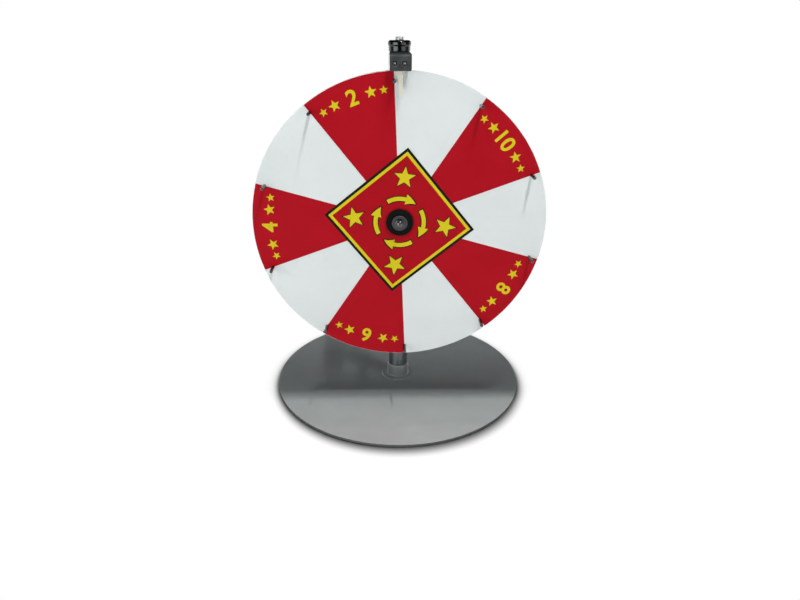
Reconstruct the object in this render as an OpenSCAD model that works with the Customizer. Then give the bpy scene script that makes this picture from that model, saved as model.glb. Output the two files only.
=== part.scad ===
// Tabletop prize wheel: a round board on a ball-bearing hub, carried by a post on a round base plate.
// Millimetres. The origin is on the table under the middle of the base, +Z is up and the wheel faces -Y.

/* [Base] */
// Diameter of the base plate
base_d = 432; // [320:1:480]
// Thickness of the base plate
base_t = 4; // [3:0.5:8]
// Chamfer around the rim of the base plate
base_chamfer = 0.8; // [0.3:0.1:1.2]

/* [Feet] */
// Diameter of one rubber foot
foot_d = 24; // [12:1:36]
// Thickness of one rubber foot
foot_t = 2; // [1:0.5:6]
// Number of rubber feet
foot_count = 6; // [3:1:12]
// Distance from the plate's rim in to the middle of a foot
foot_inset = 22; // [20:1:60]

/* [Post socket] */
// Width of the socket's flange outside the socket
flange_w = 10; // [8:0.5:20]
// Thickness of the socket's flange
flange_t = 3; // [2:0.5:6]
// Wall of the socket around the post
socket_wall = 2; // [1.5:0.5:5]
// Height of the socket above the base plate
socket_h = 24; // [16:1:60]
// Chamfer at the socket's mouth and on the flange's edge
socket_chamfer = 0.8; // [0.3:0.1:1.2]
// Thread diameter of the countersunk bolts under the base plate
socket_bolt_d = 4; // [3:0.5:5]
// Number of countersunk bolts under the base plate
socket_bolt_count = 3; // [3:1:8]
// Thread diameter of the screw that holds the post in its socket
socket_screw_d = 5; // [3:0.5:6]
// Distance from the socket's mouth down to that screw
socket_screw_drop = 8; // [6:0.5:10]

/* [Post] */
// Outside diameter of the post
post_d = 34; // [26:1:40]
// Wall of the post
post_wall = 2; // [1.5:0.5:4]
// Length of the threaded plug in the top of the post
plug_len = 20; // [12:1:40]

/* [Wheel] */
// Height of the axle above the table
axle_h = 326; // [290:1:400]
// Diameter of the wheel board
wheel_d = 450; // [380:1:480]
// Thickness of the wheel board
board_t = 8; // [5:0.5:10]
// Chamfer on both edges of the wheel board
board_chamfer = 0.5; // [0.2:0.1:1]
// Number of coloured sectors, and of pegs
sector_count = 10; // [6:2:16]
// Turn of the first sector edge from the top, towards the left
wheel_turn = 2.4; // [2:0.05:10]
// Thickness of the coloured film
film_t = 0.2; // [0.1:0.05:0.5]
// Distance from the board's rim to the film's edge
film_margin = 0.6; // [0.5:0.1:4]
// Distance that the film runs in under the centre label
film_lap = 12; // [4:1:30]

/* [Centre label] */
// Side of the square label
label_side = 163; // [120:0.2:200]
// Thickness of the label
label_t = 0.3; // [0.1:0.05:1]
// Turn of the label's top corner from the top, towards the right
label_turn = 5.9; // [-45:0.1:45]

/* [Pegs] */
// Diameter of a peg
peg_d = 5; // [3:0.5:7]
// Length of a peg in front of the film
peg_len = 22; // [16:1:40]
// Distance from the board's rim to the middle of a peg
peg_inset = 14; // [8:0.5:30]
// Chamfer at the tip of a peg
peg_chamfer = 0.8; // [0.2:0.1:1.2]

/* [Hub] */
// Diameter of the hub's front flange
hub_flange_d = 42; // [38:0.5:60]
// Wall of the hub around the bearings
barrel_wall = 3; // [2:0.5:4]
// Chamfer on the front edge of the hub's flange
hub_chamfer = 1; // [0.3:0.1:1.5]
// Thickness of the plate behind the board
back_plate_t = 3; // [2:0.5:5]
// Distance that the back plate reaches past the hub's flange
back_plate_lip = 3; // [1:0.5:20]
// Thread diameter of the screws through the board
hub_screw_d = 3; // [2.5:0.5:3.5]
// Number of screws through the board
hub_screw_count = 4; // [3:1:8]

/* [Bearings] */
// Bore of a bearing
bearing_bore = 8; // [6:0.5:9]
// Outside diameter of a bearing
bearing_d = 22; // [20:0.5:24]
// Width of a bearing
bearing_w = 7; // [6:0.5:9]
// Diameter of a ball
ball_d = 4; // [3:0.1:4.4]
// Number of balls in a bearing
ball_count = 7; // [5:1:8]
// Distance between the two bearings
race_spacer_t = 1.5; // [1:0.5:6]
// Distance that the rear bearing stands out of the hub
bearing_proud = 0.5; // [0.3:0.1:1]
// Depth of the front bearing below the hub's flange
bearing_recess = 0.5; // [0.3:0.1:1]

/* [Axle] */
// Distance from the post to the rear bearing
standoff_len = 71.5; // [40:0.5:120]
// Diameter of the tube that keeps the wheel away from the post
standoff_d = 20; // [14:1:26]
// Length of the tube's narrow nose, which touches the bearing's inner ring alone
nose_len = 1.5; // [0.5:0.5:4]
// Distance from the post to the rear washer
saddle_t = 2.5; // [1.5:0.5:8]
// Width across the flats of the bolt's head and the dome nut
nut_af = 13; // [12:0.5:17]
// Height of the bolt's head
axle_head_h = 5.3; // [4:0.1:7]
// Diameter of the rear washer and the rear saddle
rear_washer_d = 16; // [14:0.5:24]
// Thickness of the rear washer
rear_washer_t = 1.6; // [1:0.1:3]
// Thickness of the shim in front of the bearings
shim_t = 1.2; // [1:0.1:3]
// Diameter of the front washer
front_washer_d = 24; // [18:0.5:30]
// Thickness of the front washer
front_washer_t = 2; // [1:0.1:3]
// Height of the dome nut's hexagon
nut_hex_h = 5; // [4:0.5:8]
// Height of the dome nut's dome
nut_dome_h = 4.5; // [3:0.5:6]

/* [Flapper arm] */
// Width of the arm
arm_w = 31; // [24:1:32]
// Thickness of the arm
arm_t = 3; // [2:0.5:4]
// Height of the arm's underside above the wheel's rim
arm_clear = 19.5; // [16:0.5:40]
// Inside radius of the arm's bend
arm_bend_r = 2; // [1:0.5:3]
// Distance from the centre label to the back of the arm's tab
tab_gap = 12.5; // [10:0.5:14]
// Height of the arm's tab, with the arm's thickness
tab_h = 23; // [22:0.5:26]

/* [Flapper clamp] */
// Thickness of the clamp plate
clamp_t = 2; // [1:0.5:3]
// Height of the clamp plate
clamp_h = 16; // [14:0.5:17]
// Thread diameter of the clamp screws
clamp_screw_d = 4; // [3:0.5:4.5]
// Height of the clamp screws above the tab's lower edge
clamp_screw_rise = 10; // [6:0.5:11]
// Distance from the flapper's edge to a clamp screw
clamp_screw_gap = 0.5; // [0.3:0.1:1]
// Width of the clamp plate outside a clamp screw's middle
clamp_margin = 4; // [3:0.5:5]

/* [Flapper] */
// Width of the flapper at the clamp
flapper_w = 9; // [6:0.5:10]
// Width of the flapper at its tip
flapper_tip_w = 2.8; // [1:0.2:4]
// Length of the flapper below the clamp
flapper_len = 38.5; // [30:0.5:50]
// Thickness of the flapper
flapper_t = 1.2; // [0.5:0.1:2]
// Height of the flapper inside the clamp
flapper_grip = 14; // [8:0.5:14]
// Distance of the flapper's upright edge to the right of the post's axis
flapper_edge_x = 3; // [1:0.5:4]

/* [Post cap] */
// Height of the cap
cap_h = 16.5; // [12:0.5:30]
// Distance that the cap's top stands out past the post
cap_flare = 1; // [0:0.1:3]
// Distance that the cap's foot stands in from the post
cap_neck = 0.1; // [0:0.1:3]
// Radius of the cap's top edge
cap_round = 4; // [1:0.5:6]
// Thread diameter of the cap's screw
cap_screw_d = 6; // [4:0.5:8]
// Length of the cap's screw inside the plug
cap_screw_bite = 10; // [8:0.5:12]
// Diameter of the cap screw's head
cap_head_d = 13; // [10:0.5:16]
// Height of the cap screw's head
cap_head_h = 5; // [2:0.5:5]
// Radius of the cap screw's top edge
cap_head_round = 1.5; // [0.5:0.5:1.5]

/* [Clearances] */
// Radial gap of a pressed or threaded fit
press_gap = 0.02; // [0.01:0.01:0.05]
// Radial gap of a sliding or running fit
slip_gap = 0.05; // [0.02:0.01:0.1]
// Radial gap of a screw in a plain hole
hole_gap = 0.2; // [0.1:0.05:0.3]
// Metal left at the end of a blind thread
thread_skin = 0.8; // [0.5:0.1:1]
// Gap between a screw's end and the end of its blind hole
tip_gap = 0.3; // [0.1:0.1:0.5]

/* [Hidden] */
$fn = 96;

// Proportions of metric fasteners, as shares of the thread diameter
flat_head = 2;
pan_head = 1.75;
pan_head_h = 0.6;
nut_flats = 1.75;
nut_h = 0.8;

// Shares of a ball that the races leave open, and how far a cutting shape runs past what it cuts
land_share = 0.7;
past = 1;

// Stand
base_top = foot_t + base_t;
foot_ring_r = base_d / 2 - foot_inset;
post_r = post_d / 2;
post_bore_r = post_r - post_wall;
socket_bore_r = post_r + slip_gap;
socket_r = socket_bore_r + socket_wall;
flange_r = socket_r + flange_w;
socket_bolt_r = (socket_r + flange_r) / 2;
socket_bolt_len = base_t + flange_t - thread_skin - tip_gap;
socket_screw_z = base_top + socket_h - socket_screw_drop;
post_top = axle_h + wheel_d / 2 + arm_clear;

// Distances in front of the post's axis, from the post outwards
rear_bearing = post_r + standoff_len;
rear_seat = rear_bearing + bearing_w;
front_seat = rear_seat + race_spacer_t;
front_bearing = front_seat + bearing_w;
hub_back = rear_bearing + bearing_proud;
hub_front = front_bearing + bearing_recess;
board_back = hub_back + back_plate_t;
board_front = board_back + board_t;
film_front = board_front + film_t;
label_front = film_front + label_t;
shim_front = front_bearing + shim_t;
washer_front = shim_front + front_washer_t;
tab_back = label_front + tab_gap;
tab_front = tab_back + arm_t;

// Hub, bearings and axle
barrel_r = bearing_d / 2 + press_gap + barrel_wall;
hub_flange_r = hub_flange_d / 2;
back_plate_r = hub_flange_r + back_plate_lip;
hub_screw_r = (barrel_r + hub_flange_r) / 2;
hub_screw_len = hub_front - thread_skin - tip_gap - hub_back;
ball_ring_r = (bearing_bore + bearing_d) / 4;
inner_land_r = ball_ring_r - land_share * ball_d / 2;
outer_land_r = ball_ring_r + land_share * ball_d / 2;
axle_d = bearing_bore - 2 * slip_gap;
axle_back = post_r + saddle_t + rear_washer_t;
nut_bore = nut_hex_h + nut_dome_h / 2;

// Wheel face
sector_angle = 360 / sector_count;
film_r = wheel_d / 2 - film_margin;
film_inner_r = label_side / 2 - film_lap;
peg_ring_r = wheel_d / 2 - peg_inset;

// Flapper and its clamp
tab_bottom = post_top + arm_t - tab_h;
flapper_back = tab_back - press_gap - flapper_t;
clamp_front = flapper_back - press_gap;
clamp_back = clamp_front - clamp_t;
clamp_screw_z = tab_bottom + clamp_screw_rise;
clamp_reach = clamp_screw_d / 2 + clamp_screw_gap;
clamp_screw_xs = [flapper_edge_x - flapper_w - clamp_reach, flapper_edge_x + clamp_reach];

// Draws its children in the wheel's own plane: x to the right, y up from the axle and z forward.
module on_axle() {
    translate([0, 0, axle_h])
        rotate([90, 0, 0])
            children();
}

// Draws its children in the same plane, with y up from the table.
module on_table() {
    rotate([90, 0, 0])
        children();
}

// Copies its children around a circle of a given radius, the first one at the given turn from +Y.
module around(count, radius, first = 0) {
    for (i = [0 : count - 1])
        rotate([0, 0, first + i * 360 / count])
            translate([0, radius, 0])
                children();
}

// A round bar between two heights.
module bar(d, from, to) {
    translate([0, 0, from])
        cylinder(d = d, h = to - from);
}

// A ring between two heights.
module ring(outer_d, inner_d, from, to) {
    difference() {
        bar(outer_d, from, to);
        bar(inner_d, from - past, to + past);
    }
}

// A hexagonal bar between two heights, given by the width across its flats.
module hex_bar(flats, from, to) {
    translate([0, 0, from])
        cylinder(d = flats / cos(30), h = to - from, $fn = 6);
}

// The cap of a sphere, standing on the plane z = 0.
module dome(d, h) {
    sphere_r = (d * d / 4 + h * h) / (2 * h);
    intersection() {
        translate([0, 0, h - sphere_r])
            sphere(r = sphere_r);
        bar(2 * sphere_r, 0, h + past);
    }
}

// A countersunk screw whose flat head lies in the plane z = 0 and whose shank points up.
module flat_screw(d, len) {
    cylinder(d1 = flat_head * d, d2 = d, h = (flat_head - 1) * d / 2);
    bar(d, 0, len);
}

// The plain countersunk hole that a flat screw passes through.
module flat_screw_hole(d, depth) {
    cylinder(d1 = flat_head * d + 2 * press_gap, d2 = d + 2 * press_gap, h = (flat_head - 1) * d / 2);
    bar(flat_head * d + 2 * press_gap, -past, 0);
    bar(d + 2 * hole_gap, -past, depth + past);
}

// A screw with a low domed head that stands on the plane z = 0 and a shank that points down.
module dome_screw(d, head_d, head_h, len) {
    dome(head_d, head_h);
    bar(d, -len, 0);
}

// The upright cylinder of the post's outside, which the saddle and the stand-off tube are cut to.
module post_outside(gap) {
    rotate([90, 0, 0])
        cylinder(r = post_r + gap, h = 2 * post_d, center = true);
}

module base_plate() {
    color("#a3a7a6")
        difference() {
            translate([0, 0, foot_t])
                rotate_extrude()
                    polygon([
                        [0, 0],
                        [base_d / 2 - base_chamfer, 0],
                        [base_d / 2, base_chamfer],
                        [base_d / 2, base_t - base_chamfer],
                        [base_d / 2 - base_chamfer, base_t],
                        [0, base_t]
                    ]);
            around(socket_bolt_count, socket_bolt_r)
                translate([0, 0, foot_t])
                    flat_screw_hole(socket_bolt_d, base_t);
        }
}

module rubber_feet() {
    color("#26282a")
        around(foot_count, foot_ring_r)
            bar(foot_d, 0, foot_t);
}

module post_socket() {
    color("#b4b8b8")
        difference() {
            translate([0, 0, base_top])
                rotate_extrude()
                    polygon([
                        [socket_bore_r, 0],
                        [flange_r, 0],
                        [flange_r, flange_t - socket_chamfer],
                        [flange_r - socket_chamfer, flange_t],
                        [socket_r, flange_t],
                        [socket_r, socket_h - socket_chamfer],
                        [socket_r - socket_chamfer, socket_h],
                        [socket_bore_r, socket_h]
                    ]);
            around(socket_bolt_count, socket_bolt_r)
                bar(socket_bolt_d + 2 * press_gap, base_top - past, base_top + flange_t - thread_skin);
            translate([0, 0, socket_screw_z])
                rotate([-90, 0, 0])
                    bar(socket_screw_d + 2 * hole_gap, 0, socket_r + past);
        }
}

module socket_bolts() {
    color("#8d9294")
        around(socket_bolt_count, socket_bolt_r)
            translate([0, 0, foot_t])
                flat_screw(socket_bolt_d, socket_bolt_len);
}

module socket_screw() {
    color("#8d9294")
        translate([0, socket_r, socket_screw_z])
            rotate([-90, 0, 0])
                dome_screw(
                    socket_screw_d,
                    pan_head * socket_screw_d,
                    pan_head_h * socket_screw_d,
                    socket_r - post_bore_r + past
                );
}

module post() {
    color("#c3c7c8")
        difference() {
            ring(post_d, 2 * post_bore_r, base_top, post_top);
            on_axle()
                bar(axle_d + 2 * hole_gap, -post_d, post_d);
            translate([0, 0, socket_screw_z])
                rotate([-90, 0, 0])
                    bar(socket_screw_d + 2 * press_gap, 0, post_d);
        }
}

module post_plug() {
    color("#9aa0a2")
        ring(2 * (post_bore_r - press_gap), cap_screw_d + 2 * press_gap, post_top - plug_len, post_top);
}

// Side view of the arm: forward distance along x, height above the post along y.
module arm_profile() {
    outer_r = arm_bend_r + arm_t;
    square([tab_front - outer_r, arm_t]);
    translate([tab_back, arm_t - tab_h])
        square([arm_t, tab_h - outer_r]);
    translate([tab_front - outer_r, arm_t - outer_r])
        intersection() {
            difference() {
                circle(r = outer_r);
                circle(r = arm_bend_r);
            }
            square(outer_r);
        }
}

module flapper_arm() {
    color("#bfc3c5")
        difference() {
            translate([0, 0, post_top]) {
                rotate([90, 0, -90])
                    linear_extrude(arm_w, center = true)
                        arm_profile();
                cylinder(d = arm_w, h = arm_t);
            }
            bar(cap_screw_d + 2 * hole_gap, post_top - past, post_top + arm_t + past);
            clamp_screw_places()
                translate([0, 0, tab_front])
                    mirror([0, 0, 1])
                        flat_screw_hole(clamp_screw_d, arm_t);
        }
}

// A turned knob that stands on the plane z = 0, with straight sides and a rounded top edge.
module knob(foot_r, top_r, h, edge_r) {
    rotate_extrude() {
        polygon([
            [0, 0],
            [foot_r, 0],
            [top_r, h - edge_r],
            [top_r - edge_r, h - edge_r],
            [top_r - edge_r, h],
            [0, h]
        ]);
        translate([top_r - edge_r, h - edge_r])
            intersection() {
                circle(r = edge_r);
                square(edge_r);
            }
    }
}

module post_cap() {
    color("#b9bdc0")
        difference() {
            translate([0, 0, post_top + arm_t])
                knob(post_r - cap_neck, post_r + cap_flare, cap_h, cap_round);
            bar(cap_screw_d + 2 * hole_gap, post_top, post_top + arm_t + cap_h + past);
        }
}

module cap_screw() {
    color("#d0d3d4")
        translate([0, 0, post_top + arm_t + cap_h]) {
            knob(cap_head_d / 2, cap_head_d / 2, cap_head_h, cap_head_round);
            bar(cap_screw_d, -cap_h - arm_t - cap_screw_bite, 0);
        }
}

// Draws its children at each clamp screw, in the wheel's plane measured from the table.
module clamp_screw_places() {
    on_table()
        for (x = clamp_screw_xs)
            translate([x, clamp_screw_z, 0])
                children();
}

module clamp_plate() {
    plate_left = clamp_screw_xs[0] - clamp_margin;
    plate_right = clamp_screw_xs[1] + clamp_margin;
    color("#aeb2b4")
        difference() {
            on_table()
                translate([plate_left, tab_bottom, clamp_back])
                    cube([plate_right - plate_left, clamp_h, clamp_t]);
            clamp_screw_places()
                bar(clamp_screw_d + 2 * hole_gap, clamp_back - past, clamp_front + past);
        }
}

module clamp_screws() {
    color("#d0d3d4")
        clamp_screw_places()
            translate([0, 0, tab_front])
                mirror([0, 0, 1])
                    flat_screw(clamp_screw_d, tab_front - clamp_back + nut_h * clamp_screw_d);
}

module clamp_nuts() {
    color("#a9adaf")
        clamp_screw_places()
            difference() {
                hex_bar(nut_flats * clamp_screw_d, clamp_back - nut_h * clamp_screw_d, clamp_back);
                bar(
                    clamp_screw_d + 2 * press_gap,
                    clamp_back - nut_h * clamp_screw_d - past,
                    clamp_back + past
                );
            }
}

module axle_bolt() {
    color("#8d9294")
        on_axle() {
            bar(axle_d, -axle_back, washer_front + nut_bore - tip_gap);
            hex_bar(nut_af, -axle_back - axle_head_h, -axle_back);
        }
}

module rear_saddle() {
    color("#3a3d3f")
        on_axle()
            difference() {
                ring(rear_washer_d, axle_d + 2 * slip_gap, -post_r - saddle_t, 0);
                post_outside(press_gap);
            }
}

module rear_washer() {
    color("#a9adaf")
        on_axle()
            ring(rear_washer_d, axle_d + 2 * hole_gap, -axle_back, -post_r - saddle_t);
}

module standoff_tube() {
    color("#9aa0a2")
        on_axle()
            difference() {
                union() {
                    bar(standoff_d, 0, rear_bearing - nose_len);
                    bar(2 * inner_land_r, 0, rear_bearing);
                }
                bar(axle_d + 2 * slip_gap, -past, rear_bearing + past);
                post_outside(press_gap);
            }
}

// One ball race between two radii, with the groove that its balls run in.
module race(inner_d, outer_d) {
    difference() {
        ring(outer_d, inner_d, 0, bearing_w);
        translate([0, 0, bearing_w / 2])
            rotate_extrude()
                translate([ball_ring_r, 0])
                    circle(d = ball_d + 2 * slip_gap);
    }
}

// Draws its children at the back face of each bearing.
module bearing_places() {
    on_axle()
        for (back = [rear_bearing, front_seat])
            translate([0, 0, back])
                children();
}

module inner_races() {
    color("#c9ccce")
        bearing_places()
            race(bearing_bore, 2 * inner_land_r);
}

module race_spacer() {
    color("#a9adaf")
        on_axle()
            ring(2 * inner_land_r, bearing_bore, rear_seat, front_seat);
}

module front_shim() {
    color("#a9adaf")
        on_axle()
            ring(2 * inner_land_r, bearing_bore, front_bearing, shim_front);
}

module front_washer() {
    color("#9fa3a4")
        on_axle()
            ring(front_washer_d, axle_d + 2 * hole_gap, shim_front, washer_front);
}

module dome_nut() {
    color("#b4b8b8")
        on_axle()
            difference() {
                union() {
                    hex_bar(nut_af, washer_front, washer_front + nut_hex_h);
                    translate([0, 0, washer_front + nut_hex_h])
                        dome(nut_af, nut_dome_h);
                }
                bar(axle_d + 2 * press_gap, washer_front - past, washer_front + nut_bore);
            }
}

// Draws its children at each peg, in the wheel's plane.
module peg_places() {
    around(sector_count, peg_ring_r, wheel_turn)
        children();
}

// Draws its children at each hub screw, in the wheel's plane.
module hub_screw_places() {
    around(hub_screw_count, hub_screw_r)
        children();
}

module wheel_board() {
    board_r = wheel_d / 2;
    color("#e2e6e4")
        on_axle()
            difference() {
                rotate_extrude()
                    polygon([
                        [barrel_r + slip_gap, board_back],
                        [board_r - board_chamfer, board_back],
                        [board_r, board_back + board_chamfer],
                        [board_r, board_front - board_chamfer],
                        [board_r - board_chamfer, board_front],
                        [barrel_r + slip_gap, board_front]
                    ]);
                peg_places()
                    bar(peg_d + 2 * press_gap, board_back - past, board_front + past);
                hub_screw_places()
                    bar(hub_screw_d + 2 * hole_gap, board_back - past, board_front + past);
            }
}

module red_sectors() {
    color("#b01522")
        on_axle()
            difference() {
                for (i = [0 : 2 : sector_count - 1])
                    rotate([0, 0, 90 + wheel_turn + i * sector_angle])
                        rotate_extrude(angle = sector_angle)
                            translate([film_inner_r, board_front])
                                square([film_r - film_inner_r, film_t]);
                peg_places()
                    bar(peg_d + 2 * hole_gap, board_front - past, film_front + past);
            }
}

module centre_label() {
    corner_turn = 45 - label_turn;
    color("#b8141f")
        on_axle()
            difference() {
                rotate([0, 0, corner_turn])
                    translate([-label_side / 2, -label_side / 2, film_front])
                        cube([label_side, label_side, label_t]);
                bar(2 * (barrel_r + slip_gap), film_front - past, label_front + past);
                hub_screw_places()
                    bar(hub_screw_d + 2 * hole_gap, film_front - past, label_front + past);
            }
}

module pegs() {
    peg_front = film_front + peg_len;
    peg_r = peg_d / 2;
    color("#6f7374")
        on_axle()
            peg_places()
                rotate_extrude()
                    polygon([
                        [0, board_back],
                        [peg_r, board_back],
                        [peg_r, peg_front - peg_chamfer],
                        [peg_r - peg_chamfer, peg_front],
                        [0, peg_front]
                    ]);
}

module hub() {
    seat_r = bearing_d / 2 + press_gap;
    color("#1d1e20")
        on_axle()
            difference() {
                rotate_extrude()
                    polygon([
                        [seat_r, hub_back],
                        [barrel_r, hub_back],
                        [barrel_r, label_front],
                        [hub_flange_r, label_front],
                        [hub_flange_r, hub_front - hub_chamfer],
                        [hub_flange_r - hub_chamfer, hub_front],
                        [seat_r, hub_front],
                        [seat_r, front_seat],
                        [outer_land_r, front_seat],
                        [outer_land_r, rear_seat],
                        [seat_r, rear_seat]
                    ]);
                hub_screw_places()
                    bar(hub_screw_d + 2 * press_gap, label_front - past, hub_front - thread_skin);
            }
}

module back_plate() {
    color("#55595b")
        on_axle()
            difference() {
                ring(2 * back_plate_r, 2 * (barrel_r + slip_gap), hub_back, board_back);
                hub_screw_places()
                    translate([0, 0, hub_back])
                        flat_screw_hole(hub_screw_d, back_plate_t);
            }
}

module hub_screws() {
    color("#8d9294")
        on_axle()
            hub_screw_places()
                translate([0, 0, hub_back])
                    flat_screw(hub_screw_d, hub_screw_len);
}

module outer_races() {
    color("#c9ccce")
        bearing_places()
            race(2 * outer_land_r, bearing_d);
}

module bearing_balls() {
    color("#dcdedf")
        bearing_places()
            around(ball_count, ball_ring_r)
                translate([0, 0, bearing_w / 2])
                    sphere(d = ball_d);
}

module flapper() {
    tip_r = flapper_tip_w / 2;
    flapper_top = tab_bottom + flapper_grip;
    flapper_tip = tab_bottom - flapper_len;
    flapper_left_x = flapper_edge_x - flapper_w;
    color("#d6d4c6")
        on_table()
            translate([0, 0, flapper_back])
                linear_extrude(flapper_t) {
                    polygon([
                        [flapper_left_x, flapper_top],
                        [flapper_left_x, tab_bottom],
                        [flapper_edge_x - flapper_tip_w, flapper_tip + tip_r],
                        [flapper_edge_x, flapper_tip + tip_r],
                        [flapper_edge_x, flapper_top]
                    ]);
                    translate([flapper_edge_x - tip_r, flapper_tip + tip_r])
                        circle(r = tip_r);
                }
}

base_plate();
rubber_feet();
post_socket();
socket_bolts();
socket_screw();
post();
post_plug();
flapper_arm();
post_cap();
cap_screw();
clamp_plate();
clamp_screws();
clamp_nuts();
axle_bolt();
rear_saddle();
rear_washer();
standoff_tube();
inner_races();
race_spacer();
front_shim();
front_washer();
dome_nut();
wheel_board();
red_sectors();
centre_label();
pegs();
hub();
back_plate();
hub_screws();
outer_races();
bearing_balls();
flapper();
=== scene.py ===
"""Tabletop prize wheel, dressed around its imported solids: metres, +Z up, the wheel faces -Y."""
import math
from collections import namedtuple

import bmesh
import bpy
import numpy as np
from mathutils import Matrix, Vector


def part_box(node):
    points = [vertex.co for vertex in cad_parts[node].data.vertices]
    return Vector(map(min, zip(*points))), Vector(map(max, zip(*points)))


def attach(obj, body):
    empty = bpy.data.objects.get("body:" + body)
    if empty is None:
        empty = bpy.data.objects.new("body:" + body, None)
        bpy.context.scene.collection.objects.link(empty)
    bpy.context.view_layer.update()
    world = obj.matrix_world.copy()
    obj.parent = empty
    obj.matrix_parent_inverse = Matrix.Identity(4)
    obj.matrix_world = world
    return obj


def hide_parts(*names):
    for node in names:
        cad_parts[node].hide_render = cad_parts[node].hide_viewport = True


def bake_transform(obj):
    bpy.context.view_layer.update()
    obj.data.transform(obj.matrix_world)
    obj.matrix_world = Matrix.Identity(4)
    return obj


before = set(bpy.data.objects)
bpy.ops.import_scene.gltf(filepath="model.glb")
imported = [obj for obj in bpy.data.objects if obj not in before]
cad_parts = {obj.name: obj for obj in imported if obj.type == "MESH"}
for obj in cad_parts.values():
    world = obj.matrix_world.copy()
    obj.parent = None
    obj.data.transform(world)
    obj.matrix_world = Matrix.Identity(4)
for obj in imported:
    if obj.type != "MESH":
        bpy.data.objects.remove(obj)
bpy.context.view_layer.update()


# Rubber feet
# Six moulded rubber discs, stuck under the rim of the base plate with their own adhesive.
# Each has a rounded lower edge and a shallow hollow in the middle of its sole.

MM = 0.001
Box = namedtuple("Box", "low high middle half back front")


def mm_box(name):
    """A node's lowest and highest corner, its middle, half its size, and how far its back and its front lie
    in front of the post's axis, in mm."""
    low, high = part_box(name)
    low = np.array(low) / MM
    high = np.array(high) / MM
    return Box(low, high, (low + high) / 2, (high - low) / 2, -high[1], -low[1])


def unit(vectors):
    """Vectors divided by their own length."""
    return vectors / np.linalg.norm(vectors, axis=-1, keepdims=True)


def rounded(corners, radius, closed=False, steps=5):
    """Outline with an arc at each corner: both sides are cut back by radius over the tangent of half the
    corner's angle, and the arc turns about the point that lies one radius away from both sides."""
    corners = np.asarray(corners, float)
    radius = np.broadcast_to(np.asarray(radius, float), len(corners))
    back = unit(np.roll(corners, 1, 0) - corners)
    on = unit(np.roll(corners, -1, 0) - corners)
    half = np.arccos(np.clip((back * on).sum(1), -1, 1)) / 2
    cut = (radius / np.tan(half))[:, None]
    middle = corners + unit(back + on) * (radius / np.sin(half))[:, None]
    turn = (np.pi - 2 * half)[:, None, None]
    share = np.linspace(0, 1, steps + 1)[None, :, None]
    first = (corners + back * cut - middle)[:, None]
    last = (corners + on * cut - middle)[:, None]
    swing = (np.sin((1 - share) * turn) * first + np.sin(share * turn) * last) / np.sin(turn)
    arcs = middle[:, None] + swing
    if closed:
        return arcs.reshape(-1, 2)
    return np.concatenate([corners[:1], arcs[1:-1].reshape(-1, 2), corners[-1:]])


FACINGS = {
    "up": ((1, 0, 0), (0, 1, 0), (0, 0, 1)),
    "down": ((1, 0, 0), (0, -1, 0), (0, 0, -1)),
    "front": ((1, 0, 0), (0, 0, 1), (0, -1, 0)),
    "back": ((-1, 0, 0), (0, 0, 1), (0, 1, 0)),
}


def placed(right, above, along, origin, facing):
    """Points at origin plus right, above and along times the three axes of a facing, in mm."""
    axes = np.array(FACINGS[facing], float)
    return np.asarray(origin, float) + np.stack([right, above, along], axis=-1) @ axes


def quads(rows, columns, wrap_rows):
    """Faces of a grid whose columns close into a ring, and whose rows do too if asked."""
    row = np.arange(rows if wrap_rows else rows - 1)[:, None]
    column = np.arange(columns)[None]
    corners = [(row, column), (row, column + 1), (row + 1, column + 1), (row + 1, column)]
    return np.stack([(r % rows) * columns + c % columns for r, c in corners], -1).reshape(-1, 4).tolist()


def even_turn(columns):
    """The angles of columns spread evenly round a full turn."""
    return np.arange(columns) * 2 * np.pi / columns


def revolved(radius, height, origin, facing, closed=False):
    """Surface of rows by columns: the columns lie at even angles about the axis through origin, and each
    point stands radius out from that axis and height along it. An outline that starts and ends on the axis
    closes in two poles, and a closed one becomes a ring."""
    rows, columns = radius.shape
    angle = even_turn(columns)
    points = placed(radius * np.cos(angle), radius * np.sin(angle), height, origin, facing)
    return points.reshape(-1, 3), quads(rows, columns, closed), 0


def turned(outline, origin, facing, closed=False, columns=96):
    """Lathe work: an outline of radius and height, the same at every angle."""
    even = np.ones(columns)
    return revolved(outline[:, :1] * even, outline[:, 1:] * even, origin, facing, closed)


def ring_places(count, radius, first=0.0):
    """Places spread evenly round a circle, right and above of its middle, from the top towards the left."""
    angle = first + even_turn(count)
    return np.stack([-radius * np.sin(angle), radius * np.cos(angle)], axis=1).tolist()


def joined(name, shapes):
    """One closed mesh of shapes, each with its points in mm, its faces and its paint. Points that meet are
    merged, and all faces turn outwards."""
    work = bmesh.new()
    for points, faces, paint in shapes:
        part = bpy.data.meshes.new(name)
        part.from_pydata(points * MM, [], faces)
        part.polygons.foreach_set("material_index", np.broadcast_to(paint, len(faces)).astype(np.int32))
        work.from_mesh(part)
        bpy.data.meshes.remove(part)
    bmesh.ops.remove_doubles(work, verts=work.verts, dist=1e-7)
    bmesh.ops.recalc_face_normals(work, faces=work.faces)
    mesh = bpy.data.meshes.new(name)
    work.to_mesh(mesh)
    work.free()
    return mesh


def linked(name, data):
    """A new object of the scene that shows the data."""
    made = bpy.data.objects.new(name, data)
    bpy.context.scene.collection.objects.link(made)
    return made


def settled(made):
    """An object's mesh as its modifiers or its text leave it. The object itself is removed."""
    mesh = bpy.data.meshes.new_from_object(made.evaluated_get(bpy.context.evaluated_depsgraph_get()))
    bpy.data.objects.remove(made)
    return mesh


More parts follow.
